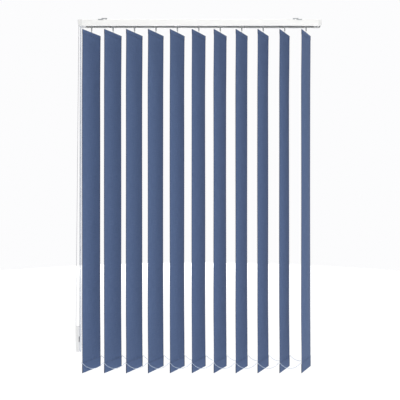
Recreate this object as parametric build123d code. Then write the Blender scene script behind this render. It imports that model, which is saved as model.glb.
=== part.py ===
"""Vertical blind with eleven fabric vanes, on a white aluminium headrail.

The frame has X along the rail, to the right as seen from the room, Y towards the wall and Z up. The origin
is the centre of the four wall screws, on the wall's face. Lengths are in millimetres.
"""

import os
from math import atan, cos, degrees, pi, radians, sin, tan

from build123d import *

# ---- Driving dimensions -------------------------------------------------------------------------

# Headrail: an aluminium channel, open underneath along a slot.
RAIL_LEFT = -612.0
LAST_STEM_TO_END = 60.0  # from the last vane's stem to the rail's right end
RAIL_DEPTH = 42.0
RAIL_HEIGHT = 32.0
RAIL_WALL = 1.6
RAIL_SLOT = 24.0
RAIL_CORNER = 1.5
RAIL_RIM = 9.0  # height of the thicker top part of each side, which holds the clip groove
RAIL_RIM_WALL = 2.6
CLIP_GROOVE_DROP = 2.0
CLIP_GROOVE_HEIGHT = 3.0
CLIP_GROOVE_DEPTH = 1.2

# Wall brackets and the spring clips that hold the rail under them.
BRACKET_SPACING = 1030.0
BRACKET_WIDTH = 30.0
BRACKET_THICKNESS = 2.5
BRACKET_ARM = 95.0
BRACKET_LEG = 42.8
SCREW_SPACING = 20.0
SCREW_HOLE = 5.0
LEG_BELOW_CENTRE = 26.5
WALL_TO_PIVOT = 78.0
ARM_SLOT_LENGTH = 24.0
CLIP_THICKNESS = 1.2
CLIP_WIDTH = 24.0
CLIP_SCREW = 5.0
CLIP_SCREW_HEAD = 9.5
CLIP_SCREW_HEAD_HEIGHT = 3.0

# Vanes.
VANE_COUNT = 11
VANE_PITCH = 112.0
FIRST_STEM_X = -566.0
STACK_PITCH = 26.0
VANE_WIDTH = 127.0
VANE_LENGTH = 1760.0
VANE_ANGLE = 56.3  # from the blind's plane, near edge to the left
VANE_DROP = 29.0  # from the rail's underside to the vane's top
FABRIC = 0.5
TOP_POCKET = 24.0
HANGER_WIDTH = 60.0
HANGER_THICKNESS = 1.0
HANGER_HEIGHT = 20.0
TAB_WIDTH = 7.0
TAB_ABOVE_NUB = 3.5
TAB_SLIT = 0.5  # between the tab and each end of its slit in the cloth
BOTTOM_POCKET = 54.0
WEIGHT_WIDTH = 118.0
WEIGHT_THICKNESS = 1.6
WEIGHT_HEIGHT = 52.0
ARM_HEIGHT = 4.0
CHAIN_HEIGHT = 53.5  # of the spacer chain's eyes, above the vane's foot
EYE_REACH = 4.7  # from the vane's edge to the middle of the eye
EYE_RADIUS = 3.6
EYE_WIDTH = 2.4
SPACER_CHAIN = 3.2

# Carriers, with a worm on the tilt rod that turns each vane's stem.
CARRIER_LENGTH = 22.0
CARRIER_WIDTH = 36.0
CARRIER_HEIGHT = 20.0
POCKET_FLOOR = 6.8  # above the carrier's underside
STEM_RADIUS = 4.0
STEM_BELOW_RAIL = 4.0
GEAR_RADIUS = 5.0
GEAR_HEIGHT = 6.0
GEAR_TEETH = 16
HOOK_WIDTH = 5.0
HOOK_LEG = 1.6
HOOK_GAP = 1.6
HOOK_LENGTH = 20.0  # below the rail's underside
HOOK_SLIT_ABOVE_TAB = 0.6
NUB_ABOVE_FOOT = 3.4
NUB_RADIUS = 1.3
WORM_RADIUS = 4.0
WORM_LENGTH = 12.0
ROD_FLATS = 4.4
LINK_WIDTH = 8.0
LINK_THICKNESS = 0.5
LINK_SHORTER = 6.0  # than the vanes' pitch
LINK_RISE = 3.7  # over its length, so that the links lie over each other when the vanes are drawn
LINK_FOOT = 0.6

# Traverse cord and its pulleys.
CORD = 2.0
CORD_SIDE = 14.7  # from the rail's middle to each strand
CORD_HEIGHT = 20.2  # above the rail's underside
PULLEY_WIDTH = 3.6
CONTROL_PULLEY = 8.0  # radius at the cord's middle, as for the other pulleys
WEIGHT_PULLEY = 9.5
CORD_DROP = 17.0  # from the rail's left end out to where the cord hangs
CORD_WEIGHT_ASIDE = 9.5  # of the weight's middle, outside that line
CORD_WEIGHT_TOP = -1622.0
CORD_WEIGHT_LENGTH = 133.0
CORD_WEIGHT_WIDTH = 23.0
CORD_WEIGHT_FOOT = 18.0  # its width at the bottom
CORD_WEIGHT_THICKNESS = 9.0
CATCH_RECESS = 3.0  # depth and width of the recess for the catch that closes the weight
CATCH_LENGTH = 30.0
CATCH_DROP = 52.0  # from the weight's top to the recess
WEIGHT_PULLEY_DROP = 14.0
AXLE_RADIUS = 2.0

# End housings and the bead chain's wheel.
CONTROL_LENGTH = 21.0
IDLE_LENGTH = 15.0
HOUSING_WALL = 2.5
PLUG_LENGTH = 16.0
CORNER_CUT_LENGTH = 9.0  # along X, of the control end's cut lower corner
CORNER_CUT_HEIGHT = 10.0
TONGUE_LIFT = 5.0  # of the idle end's tongue above the rail's flanges
WHEEL_FROM_RAIL = 11.0
WHEEL_WIDTH = 5.0
WHEEL_RADIUS = 8.2
WHEEL_CHAIN = 7.6  # radius at the bead chain's middle
BEAD_CHAIN = 3.2
ROD_GEAR = 3.3
DRIVE_WIDTH = 3.0
WHEEL_SHAFT = 2.4
WEB = 2.5

# Clearances.
RUNNING = 0.3  # between pieces that slide or pass each other
FIT = 0.05  # radial, of a shaft in its bearing
LOOSE = 0.1  # round a piece inside a pocket or on the rod

# ---- Derived places -----------------------------------------------------------------------------

PIVOT_Y = -WALL_TO_PIVOT
RAIL_RIGHT = FIRST_STEM_X + (VANE_COUNT - 1) * VANE_PITCH + LAST_STEM_TO_END
CONTROL_END = RAIL_LEFT - CONTROL_LENGTH
IDLE_END = RAIL_RIGHT + IDLE_LENGTH
WHEEL_X = RAIL_LEFT - WHEEL_FROM_RAIL
CORD_DROP_X = RAIL_LEFT - CORD_DROP
CORD_WEIGHT_X = CORD_DROP_X - CORD_WEIGHT_ASIDE
LINK_LENGTH = VANE_PITCH - LINK_SHORTER
ARM_BOTTOM = -LEG_BELOW_CENTRE
RAIL_TOP = ARM_BOTTOM - CLIP_THICKNESS
RAIL_BOTTOM = RAIL_TOP - RAIL_HEIGHT
FLANGE_TOP = RAIL_BOTTOM + RAIL_WALL
CARRIER_BOTTOM = FLANGE_TOP + RUNNING
CARRIER_TOP = CARRIER_BOTTOM + CARRIER_HEIGHT
POCKET_BOTTOM = CARRIER_BOTTOM + POCKET_FLOOR
ROD_Z = POCKET_BOTTOM + RUNNING + WORM_RADIUS
ROD_OFFSET = GEAR_RADIUS + WORM_RADIUS + RUNNING
DRIVE_GEAR = ROD_OFFSET - ROD_GEAR - RUNNING
ROD_Y = PIVOT_Y + ROD_OFFSET
CORD_Z = RAIL_BOTTOM + CORD_HEIGHT
STEM_BOTTOM = RAIL_BOTTOM - STEM_BELOW_RAIL
HOOK_FOOT = RAIL_BOTTOM - HOOK_LENGTH
NUB_Z = HOOK_FOOT + NUB_ABOVE_FOOT
TAB_TOP = NUB_Z + TAB_ABOVE_NUB
VANE_TOP = RAIL_BOTTOM - VANE_DROP
VANE_BOTTOM = VANE_TOP - VANE_LENGTH
CHAIN_Z = VANE_BOTTOM + CHAIN_HEIGHT
CONTROL_PULLEY_X = CORD_DROP_X + CONTROL_PULLEY
CONTROL_PULLEY_Z = CORD_Z - CONTROL_PULLEY
RETURN_PULLEY = CORD_SIDE
PULLEY_RIM = CORD / 2 + 0.2  # from the cord's middle out to a pulley's rim
RETURN_PULLEY_X = IDLE_END - HOUSING_WALL - RUNNING - RETURN_PULLEY - PULLEY_RIM
WEIGHT_PULLEY_Z = CORD_WEIGHT_TOP - WEIGHT_PULLEY_DROP
WHEEL_Z = ROD_Z
CAVITY = RAIL_DEPTH / 2 - RAIL_WALL
DRIVE_X = WHEEL_X + WHEEL_WIDTH / 2 + 1.0 + DRIVE_WIDTH / 2


def stem_x(number):
    """The X of a vane's stem, counting from 1 at the control end."""
    return FIRST_STEM_X + (number - 1) * VANE_PITCH


# ---- Small helpers ------------------------------------------------------------------------------


def block(x, y, z):
    """A box between two values on each axis."""
    size = (x[1] - x[0], y[1] - y[0], z[1] - z[0])
    centre = ((x[0] + x[1]) / 2, (y[0] + y[1]) / 2, (z[0] + z[1]) / 2)
    return Pos(*centre) * Box(*size)


def around(middle, size):
    """The two ends of a length about its middle."""
    return (middle - size / 2, middle + size / 2)


def rod_x(x, y, z, radius):
    """A cylinder along X, between two values of X."""
    return Pos((x[0] + x[1]) / 2, y, z) * Rot(0, 90, 0) * Cylinder(radius, x[1] - x[0])


def rod_y(x, y, z, radius):
    """A cylinder along Y, between two values of Y."""
    return Pos(x, (y[0] + y[1]) / 2, z) * Rot(90, 0, 0) * Cylinder(radius, y[1] - y[0])


def rod_z(x, y, z, radius):
    """A cylinder along Z, between two values of Z."""
    return Pos(x, y, (z[0] + z[1]) / 2) * Cylinder(radius, z[1] - z[0])


def hexagon_x(x, y, z, flats):
    """A hexagonal bar along X, given its width across flats."""
    profile = Plane.YZ * RegularPolygon(flats / 2, 6, major_radius=False)
    return Pos(x[0], y, z) * extrude(profile, x[1] - x[0])


def grooved_wheel(cord_radius, cord, width, rim, bore):
    """A pulley about Z: its groove's floor lies a running gap inside the cord."""
    floor = cord_radius - cord / 2 - RUNNING
    outer = Cylinder(cord_radius + rim, width)
    groove = Cylinder(cord_radius + rim + 1, cord + 2 * RUNNING) - Cylinder(floor, width)
    return outer - groove - Cylinder(bore, width + 1)


def only_solid(shape):
    """The one solid of a shape that must be a single piece."""
    found = shape.solids()
    assert len(found) == 1, f"{len(found)} solids where one is meant"
    return found[0]


def tube(name, points, radii, diameter):
    """A round tube along straight runs joined by tangent arcs."""
    path = FilletPolyline(*points, radius=radii)
    section = Plane(origin=path @ 0, z_dir=path % 0) * Circle(diameter / 2)
    swept = only_solid(sweep(section, path=path))
    ideal = pi * (diameter / 2) ** 2 * path.length
    arcs = sorted(set(round(r, 1) for r in radii))
    print(f"{name}: length {path.length:.1f}, radii {arcs[0]} to {arcs[-1]}, volume {swept.volume / ideal:.4f}")
    return swept


def free_radii(points):
    """Each corner's arc: 0.45 of the shorter run beside it, over the tangent of half the turn."""
    radii = []
    for before, here, after in zip(points, points[1:], points[2:]):
        arriving = Vector(*here) - Vector(*before)
        leaving = Vector(*after) - Vector(*here)
        half_turn = radians(arriving.get_angle(leaving)) / 2
        radii.append(0.45 * min(arriving.length, leaving.length) / tan(half_turn))
    return radii


# ---- Headrail and its fixings -------------------------------------------------------------------


def headrail():
    """The channel, with its slot underneath and a groove along each side for the clips."""
    length = (RAIL_LEFT, RAIL_RIGHT)
    outer = block(length, around(PIVOT_Y, RAIL_DEPTH), (RAIL_BOTTOM, RAIL_TOP))
    outer = fillet(outer.edges().filter_by(Axis.X), RAIL_CORNER)
    lower = block(length, around(PIVOT_Y, 2 * CAVITY), (FLANGE_TOP, RAIL_TOP - RAIL_RIM))
    upper_width = RAIL_DEPTH - 2 * RAIL_RIM_WALL
    upper = block(length, around(PIVOT_Y, upper_width), (FLANGE_TOP, RAIL_TOP - RAIL_WALL))
    slot = block(length, around(PIVOT_Y, RAIL_SLOT), (RAIL_BOTTOM - 1, FLANGE_TOP + 1))
    rail = outer - lower - upper - slot
    groove_top = RAIL_TOP - CLIP_GROOVE_DROP
    for side in (-1, 1):
        middle = PIVOT_Y + side * RAIL_DEPTH / 2
        across = around(middle, 2 * CLIP_GROOVE_DEPTH)
        rail -= block(length, across, (groove_top - CLIP_GROOVE_HEIGHT, groove_top))
    return only_solid(rail)


def wall_bracket(x):
    """An L of steel strip: the leg goes up the wall and the arm out over the rail."""
    across = around(x, BRACKET_WIDTH)
    arm = block(across, (-BRACKET_ARM, 0), (ARM_BOTTOM, ARM_BOTTOM + BRACKET_THICKNESS))
    leg = block(across, (-BRACKET_THICKNESS, 0), (ARM_BOTTOM, ARM_BOTTOM + BRACKET_LEG))
    bracket = arm + leg
    inner_bend = bracket.edges().filter_by(Axis.X).sort_by_distance(
        (x, -BRACKET_THICKNESS, ARM_BOTTOM + BRACKET_THICKNESS)
    )[0]
    bracket = fillet(inner_bend, BRACKET_THICKNESS)
    for side in (-1, 1):
        bracket -= rod_y(x, (-BRACKET_THICKNESS - 1, 1), side * SCREW_SPACING / 2, SCREW_HOLE / 2)
    slot = SlotCenterToCenter(ARM_SLOT_LENGTH, CLIP_SCREW + 2 * RUNNING, rotation=90)
    bracket -= Pos(x, PIVOT_Y, ARM_BOTTOM - 1) * extrude(slot, BRACKET_THICKNESS + 2)
    return only_solid(bracket)


def rail_clip(x):
    """A spring steel clip on the rail's top, whose toes grip the grooves in its sides."""
    across = around(x, CLIP_WIDTH)
    half = RAIL_DEPTH / 2
    clip = block(across, around(PIVOT_Y, RAIL_DEPTH + 2 * CLIP_THICKNESS), (RAIL_TOP, ARM_BOTTOM))
    toe_top = RAIL_TOP - CLIP_GROOVE_DROP - RUNNING
    toe_bottom = toe_top - CLIP_THICKNESS
    for side in (-1, 1):
        face = PIVOT_Y + side * (half + LOOSE)
        outside = PIVOT_Y + side * (half + CLIP_THICKNESS)
        clip += block(across, sorted((face, outside)), (toe_bottom, RAIL_TOP))
        tip = PIVOT_Y + side * (half - CLIP_GROOVE_DEPTH + RUNNING)
        clip += block(across, sorted((tip, outside)), (toe_bottom, toe_top))
    return only_solid(clip - rod_z(x, PIVOT_Y, (RAIL_TOP - 1, ARM_BOTTOM + 1), CLIP_SCREW / 2))


def clip_screw(x):
    """The pan head screw that holds a clip under its bracket."""
    arm_top = ARM_BOTTOM + BRACKET_THICKNESS
    shank = rod_z(x, PIVOT_Y, (RAIL_TOP, arm_top), CLIP_SCREW / 2)
    head = rod_z(x, PIVOT_Y, (arm_top, arm_top + CLIP_SCREW_HEAD_HEIGHT), CLIP_SCREW_HEAD / 2)
    head = fillet(head.edges().group_by(Axis.Z)[-1], 1.2)
    slot = block(around(x, 1.2), around(PIVOT_Y, CLIP_SCREW_HEAD + 1), (arm_top + 1.8, arm_top + 4))
    return only_solid(shank + (head - slot))


# ---- Carriers -----------------------------------------------------------------------------------


def carrier(number):
    """A moulded runner on the rail's flanges. The lead carrier grips the traverse cord."""
    x = stem_x(number)
    along = around(x, CARRIER_LENGTH)
    body = block(along, around(PIVOT_Y, CARRIER_WIDTH), (CARRIER_BOTTOM, CARRIER_TOP))
    body = fillet(body.edges().filter_by(Axis.Z), 2)
    pocket_back = ROD_Y + WORM_RADIUS + RUNNING
    pocket_front = PIVOT_Y - GEAR_RADIUS - RUNNING
    pocket_length = WORM_LENGTH + 2 * RUNNING
    body -= block(around(x, pocket_length), (pocket_front, pocket_back), (POCKET_BOTTOM, CARRIER_TOP + 1))
    body -= rod_z(x, PIVOT_Y, (CARRIER_BOTTOM - 1, CARRIER_TOP), STEM_RADIUS + FIT)
    body -= rod_x(around(x, CARRIER_LENGTH + 2), ROD_Y, ROD_Z, ROD_FLATS / 2 / cos(pi / 6) + RUNNING)
    for side in (-1, 1):
        y = PIVOT_Y + side * CORD_SIDE
        if side < 0 and number == VANE_COUNT:
            body -= rod_x(around(x, CARRIER_LENGTH + 2), y, CORD_Z, CORD / 2 + FIT)
        else:
            groove = around(y, CORD + 4 * RUNNING)
            body -= block(around(x, CARRIER_LENGTH + 2), groove, (CORD_Z - CORD, CARRIER_TOP + 1))
    return only_solid(body)


def spacer_link(number):
    """The strip that sets a carrier's distance from the next, rising so that drawn strips nest."""
    start = stem_x(number) + CARRIER_LENGTH / 2 - 3
    foot = block((start, start + 3), around(PIVOT_Y, LINK_WIDTH), (CARRIER_TOP, CARRIER_TOP + LINK_FOOT + 0.2))
    slope = degrees(atan(LINK_RISE / LINK_LENGTH))
    strip = block((0, LINK_LENGTH), around(0, LINK_WIDTH), (0, LINK_THICKNESS))
    return only_solid(foot + Pos(start, PIVOT_Y, CARRIER_TOP + LINK_FOOT) * Rot(0, -slope, 0) * strip)


def worm(number):
    """The worm that slides along the tilt rod with its carrier and turns with the rod."""
    x = stem_x(number)
    along = around(x, WORM_LENGTH)
    sleeve = rod_x(along, ROD_Y, ROD_Z, WORM_RADIUS)
    for turn in range(5):
        ring = around(x + (turn - 2) * 2.2, 1.0)
        sleeve -= rod_x(ring, ROD_Y, ROD_Z, WORM_RADIUS + 1) - rod_x(ring, ROD_Y, ROD_Z, WORM_RADIUS - 0.6)
    return only_solid(sleeve - hexagon_x(around(x, WORM_LENGTH + 2), ROD_Y, ROD_Z, ROD_FLATS + 2 * LOOSE))


def stem():
    """The stem about its own axis, with its gear in the carrier and its fork below the rail."""
    gear_bottom = POCKET_BOTTOM + RUNNING
    body = rod_z(0, 0, (gear_bottom, gear_bottom + GEAR_HEIGHT), GEAR_RADIUS)
    for tooth in range(GEAR_TEETH):
        gap = Pos(GEAR_RADIUS, 0, gear_bottom + GEAR_HEIGHT / 2) * Box(0.9, 0.9, GEAR_HEIGHT + 1)
        body -= Rot(0, 0, tooth * 360 / GEAR_TEETH) * gap
    body += rod_z(0, 0, (STEM_BOTTOM, gear_bottom), STEM_RADIUS)
    thickness = HOOK_GAP + 2 * HOOK_LEG
    fork = block(around(0, HOOK_WIDTH), around(0, thickness), (HOOK_FOOT, STEM_BOTTOM + 1))
    slit_top = TAB_TOP + HOOK_SLIT_ABOVE_TAB
    fork -= block(around(0, HOOK_WIDTH + 2), around(0, HOOK_GAP), (HOOK_FOOT - 1, slit_top))
    nub = rod_y(0, around(0, HOOK_GAP + HOOK_LEG), NUB_Z, NUB_RADIUS)
    return only_solid(body + fork + nub)


# ---- Vanes --------------------------------------------------------------------------------------

POCKET_THICKNESS = HANGER_THICKNESS + 2 * LOOSE
FOOT_THICKNESS = WEIGHT_THICKNESS + 2 * LOOSE
HANGER_TOP = VANE_TOP - FABRIC - LOOSE


def vane_fabric():
    """One strip of cloth about its stem's axis, with a sewn pocket at its top and its foot."""
    across = around(0, VANE_WIDTH)
    cloth = block(across, around(0, FABRIC), (VANE_BOTTOM + BOTTOM_POCKET, VANE_TOP - TOP_POCKET))
    top = (VANE_TOP - TOP_POCKET, VANE_TOP)
    cloth += block(across, around(0, POCKET_THICKNESS + 2 * FABRIC), top)
    foot = (VANE_BOTTOM, VANE_BOTTOM + BOTTOM_POCKET)
    cloth += block(across, around(0, FOOT_THICKNESS + 2 * FABRIC), foot)
    wide = around(0, VANE_WIDTH + 2)
    cloth -= block(wide, around(0, POCKET_THICKNESS), (top[0] + FABRIC, top[1] - FABRIC))
    cloth -= block(wide, around(0, FOOT_THICKNESS), (foot[0] + FABRIC, foot[1] - FABRIC))
    slit = around(0, TAB_WIDTH + 2 * TAB_SLIT)
    cloth -= block(slit, around(0, POCKET_THICKNESS), (VANE_TOP - 2 * FABRIC, VANE_TOP + 1))
    return only_solid(cloth)


def vane_hanger():
    """The stiff plate in the top pocket. Its tab comes up through the cloth and hangs on the stem's nub."""
    thick = around(0, HANGER_THICKNESS)
    plate = block(around(0, HANGER_WIDTH), thick, (HANGER_TOP - HANGER_HEIGHT, HANGER_TOP))
    plate += block(around(0, TAB_WIDTH), thick, (HANGER_TOP - 1, TAB_TOP))
    hole = NUB_RADIUS + RUNNING
    return only_solid(plate - rod_y(0, around(0, 4), NUB_Z - RUNNING + FIT, hole))


def vane_weight():
    """The plate in the foot pocket, with an eye for the spacer chain beyond each edge of the vane."""
    bottom = VANE_BOTTOM + FABRIC + LOOSE
    plate = block(around(0, WEIGHT_WIDTH), around(0, WEIGHT_THICKNESS), (bottom, bottom + WEIGHT_HEIGHT))
    for side in (-1, 1):
        eye_at = side * (VANE_WIDTH / 2 + EYE_REACH)
        arm = sorted((side * (WEIGHT_WIDTH / 2 - 1), eye_at - side))
        levels = (bottom + WEIGHT_HEIGHT - ARM_HEIGHT, bottom + WEIGHT_HEIGHT)
        plate += block(arm, around(0, WEIGHT_THICKNESS), levels)
        along_chain = Pos(eye_at, 0, CHAIN_Z) * Rot(0, 0, -VANE_ANGLE)
        plate += along_chain * rod_x(around(0, EYE_WIDTH), 0, 0, EYE_RADIUS)
        plate -= along_chain * rod_x(around(0, 4 * EYE_WIDTH), 0, 0, SPACER_CHAIN / 2 + RUNNING)
    return only_solid(plate)


def on_stem(number, piece):
    """Puts a piece made about its own stem at that stem, at the angle of rest."""
    return Pos(stem_x(number), PIVOT_Y, 0) * Rot(0, 0, VANE_ANGLE) * piece


# ---- Spacer chains ------------------------------------------------------------------------------

# One span from eye to eye, as distance along X and drop below the eyes. Its other half is the mirror image.
HALF_SPAN = [(5, 0), (12, 10), (29, 21.5), (46, 27.5)]
SPAN_POINTS = HALF_SPAN + [(VANE_PITCH - along, drop) for along, drop in reversed(HALF_SPAN)]


def spacer_chain(side):
    """The chain along one edge of the vanes, through every eye and sagging between them."""
    reach = VANE_WIDTH / 2 + EYE_REACH
    y = PIVOT_Y + side * reach * sin(radians(VANE_ANGLE))
    first_eye = stem_x(1) + side * reach * cos(radians(VANE_ANGLE))
    points = [(first_eye - EYE_WIDTH, y, CHAIN_Z)]
    for span in range(VANE_COUNT - 1):
        for along, drop in SPAN_POINTS:
            points.append((first_eye + span * VANE_PITCH + along, y, CHAIN_Z - drop))
    points.append((first_eye + (VANE_COUNT - 1) * VANE_PITCH + EYE_WIDTH, y, CHAIN_Z))
    return points


# ---- Tilt rod, chain wheel and bead chain -------------------------------------------------------


def tilt_rod():
    """The hexagonal rod through all the worms, with the small gear that drives it."""
    end = RAIL_RIGHT + WEB + 1
    rod = hexagon_x((DRIVE_X - DRIVE_WIDTH / 2, end), ROD_Y, ROD_Z, ROD_FLATS)
    return only_solid(rod + rod_x(around(DRIVE_X, DRIVE_WIDTH), ROD_Y, ROD_Z, ROD_GEAR))


def chain_wheel():
    """The bead chain's grooved wheel, with its shaft and the gear that turns the rod."""
    wheel = grooved_wheel(WHEEL_CHAIN, BEAD_CHAIN, WHEEL_WIDTH, WHEEL_RADIUS - WHEEL_CHAIN, 1)
    body = Pos(WHEEL_X, PIVOT_Y, WHEEL_Z) * Rot(0, 90, 0) * wheel
    shaft = (CONTROL_END + 1, RAIL_LEFT - 1)
    body += rod_x(shaft, PIVOT_Y, WHEEL_Z, WHEEL_SHAFT)
    return only_solid(body + rod_x(around(DRIVE_X, DRIVE_WIDTH), PIVOT_Y, WHEEL_Z, DRIVE_GEAR))


# The bead chain's loop, as distance from its middle and height above its foot, for one half of the loop.
CHAIN_FOOT = [(7.6, 88), (8.6, 58), (10.6, 34), (10.6, 14), (6.5, 2.5), (0, 0)]
BEAD_CHAIN_BOTTOM = -1755.0


def bead_chain_points():
    """Over the wheel and down both sides to the loop's foot, which spreads a little."""
    top = WHEEL_Z + WHEEL_CHAIN
    half = [(0.2, top), (WHEEL_CHAIN, top)]
    half += [(across, BEAD_CHAIN_BOTTOM + height) for across, height in CHAIN_FOOT]
    other = [(-across, z) for across, z in reversed(half[:-1])]
    return [(WHEEL_X, PIVOT_Y - across, z) for across, z in half + other]


# ---- Traverse cord ------------------------------------------------------------------------------


def inside_cord_points():
    """Along the rail, round the return pulley and back."""
    turn = RETURN_PULLEY_X + RETURN_PULLEY
    front = PIVOT_Y - CORD_SIDE
    back = PIVOT_Y + CORD_SIDE
    corners = [(CONTROL_PULLEY_X, front), (turn, front), (turn, back), (CONTROL_PULLEY_X, back)]
    return [(x, y, CORD_Z) for x, y in corners]


def hanging_cord_points():
    """Over both control pulleys, down, and under the cord weight's pulley."""
    foot = WEIGHT_PULLEY_Z - WEIGHT_PULLEY
    return [
        (CONTROL_PULLEY_X, PIVOT_Y - CORD_SIDE, CORD_Z),
        (CORD_DROP_X, PIVOT_Y - CORD_SIDE, CORD_Z),
        (CORD_WEIGHT_X - WEIGHT_PULLEY, PIVOT_Y, foot),
        (CORD_WEIGHT_X + WEIGHT_PULLEY, PIVOT_Y, foot),
        (CORD_DROP_X, PIVOT_Y + CORD_SIDE, CORD_Z),
        (CONTROL_PULLEY_X, PIVOT_Y + CORD_SIDE, CORD_Z),
    ]


ARC_SHARE = 0.99  # of a pulley's radius, so that a short straight run is left between two arcs


def cord_weight():
    """A flat moulded weight, a little narrower below, slotted from above for its pulley."""
    top = CORD_WEIGHT_TOP
    bottom = top - CORD_WEIGHT_LENGTH
    head, foot = CORD_WEIGHT_WIDTH / 2, CORD_WEIGHT_FOOT / 2
    outline = Polyline((-head, top), (head, top), (foot, bottom), (-foot, bottom), close=True)
    front_plane = Plane(origin=(CORD_WEIGHT_X, PIVOT_Y, 0), x_dir=(1, 0, 0), z_dir=(0, -1, 0))
    body = extrude(front_plane * make_face(outline), CORD_WEIGHT_THICKNESS / 2, both=True)
    body = fillet(body.edges().filter_by(Axis.Y), 5)
    body = fillet(body.faces().sort_by(Axis.Y)[0].edges() + body.faces().sort_by(Axis.Y)[-1].edges(), 1.5)
    gap = PULLEY_WIDTH + 2 * RUNNING
    room = WEIGHT_PULLEY + PULLEY_RIM + RUNNING
    thick = around(PIVOT_Y, CORD_WEIGHT_THICKNESS)
    body -= rod_y(CORD_WEIGHT_X, around(PIVOT_Y, gap), WEIGHT_PULLEY_Z, room)
    entry = around(CORD_WEIGHT_X, 2 * (WEIGHT_PULLEY + CORD / 2 + RUNNING))
    body -= block(entry, around(PIVOT_Y, gap), (WEIGHT_PULLEY_Z, top + 1))
    edge = CORD_WEIGHT_X + CORD_WEIGHT_WIDTH / 2
    recess = (top - CATCH_DROP - CATCH_LENGTH, top - CATCH_DROP)
    body -= block((edge - 2 * CATCH_RECESS, edge + 1), (thick[0] - 1, thick[0] + CATCH_RECESS), recess)
    body += rod_y(CORD_WEIGHT_X, thick, WEIGHT_PULLEY_Z, AXLE_RADIUS)
    return only_solid(body)


def pulley(radius):
    """A cord pulley about Z, bored for its axle."""
    return grooved_wheel(radius, CORD, PULLEY_WIDTH, PULLEY_RIM, AXLE_RADIUS + FIT)


def upright_pulley(radius, x, y, z):
    """A cord pulley whose axle lies along Y."""
    return only_solid(Pos(x, y, z) * Rot(90, 0, 0) * pulley(radius))


# ---- End housings -------------------------------------------------------------------------------


def control_end_housing():
    """The hollow end that holds the chain wheel and the two control pulleys.

    Its lower corner is cut off and open there, where the cord comes out.
    """
    outer = block((CONTROL_END, RAIL_LEFT), around(PIVOT_Y, RAIL_DEPTH), (RAIL_BOTTOM, RAIL_TOP))
    outer = fillet(outer.edges().filter_by(Axis.X), RAIL_CORNER)
    outer = fillet(outer.faces().sort_by(Axis.X)[0].edges(), 1.5)
    inside = around(PIVOT_Y, RAIL_DEPTH - 2 * HOUSING_WALL)
    levels = (RAIL_BOTTOM + HOUSING_WALL, RAIL_TOP - HOUSING_WALL)
    housing = outer - block((CONTROL_END + HOUSING_WALL, RAIL_LEFT + 1), inside, levels)
    corner_rise = (CONTROL_END - 1, RAIL_BOTTOM + CORNER_CUT_HEIGHT * (1 + 1 / CORNER_CUT_LENGTH))
    corner_run = (CONTROL_END + CORNER_CUT_LENGTH * (1 + 1 / CORNER_CUT_HEIGHT), RAIL_BOTTOM - 1)
    corner = Polyline((CONTROL_END - 1, RAIL_BOTTOM - 1), corner_run, corner_rise, close=True)
    side_plane = Plane(origin=(0, PIVOT_Y, 0), x_dir=(1, 0, 0), z_dir=(0, -1, 0))
    housing -= extrude(side_plane * make_face(corner), RAIL_DEPTH, both=True)
    plug_side = RAIL_DEPTH / 2 - RAIL_RIM_WALL - LOOSE
    plug_levels = (FLANGE_TOP + LOOSE, RAIL_TOP - RAIL_WALL - LOOSE)
    plug = block((RAIL_LEFT - 1, RAIL_LEFT + PLUG_LENGTH), around(PIVOT_Y, 2 * plug_side), plug_levels)
    plug_inside = around(PIVOT_Y, 2 * (plug_side - HOUSING_WALL + 1))
    hollow = (plug_levels[0] + HOUSING_WALL, plug_levels[1] - HOUSING_WALL)
    housing += plug
    housing -= block((RAIL_LEFT - 2, RAIL_LEFT + PLUG_LENGTH + 1), plug_inside, hollow)
    web_x = (RAIL_LEFT - WEB - 1, RAIL_LEFT - 1)
    web_side = 2 * (CORD_SIDE - PULLEY_WIDTH / 2 - RUNNING)
    housing += block(web_x, around(PIVOT_Y, web_side), (RAIL_BOTTOM + 1, RAIL_TOP - 1))
    housing -= rod_x((web_x[0] - 1, web_x[1] + 1), PIVOT_Y, WHEEL_Z, WHEEL_SHAFT + FIT)
    rod_bearing = ROD_FLATS / 2 / cos(pi / 6) + FIT
    housing -= rod_x((web_x[0] - 1, web_x[1] + 1), ROD_Y, ROD_Z, rod_bearing)
    housing -= rod_x((CONTROL_END + 0.7, CONTROL_END + HOUSING_WALL + 1), PIVOT_Y, WHEEL_Z, WHEEL_SHAFT + FIT)
    for side in (-1, 1):
        y = PIVOT_Y + side * CORD_SIDE
        wall = PIVOT_Y + side * (RAIL_DEPTH / 2 - 1)
        pin_end = y - side * PULLEY_WIDTH / 2
        pin = rod_y(CONTROL_PULLEY_X, sorted((pin_end, wall)), CONTROL_PULLEY_Z, AXLE_RADIUS)
        collar_end = y + side * (PULLEY_WIDTH / 2 + RUNNING)
        collar = rod_y(CONTROL_PULLEY_X, sorted((collar_end, wall)), CONTROL_PULLEY_Z, AXLE_RADIUS + 1.5)
        housing += pin + collar
        drop_slot = around(CORD_DROP_X, CORD + 4 * RUNNING)
        housing -= block(drop_slot, around(y, CORD + 4 * RUNNING), (RAIL_BOTTOM - 1, RAIL_BOTTOM + HOUSING_WALL))
        strand = PIVOT_Y + side * WHEEL_CHAIN
        chain_slot = around(WHEEL_X, BEAD_CHAIN + 4 * RUNNING)
        across = around(strand, BEAD_CHAIN + 4 * RUNNING)
        housing -= block(chain_slot, across, (RAIL_BOTTOM - 1, RAIL_BOTTOM + HOUSING_WALL))
    return only_solid(housing)


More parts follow.
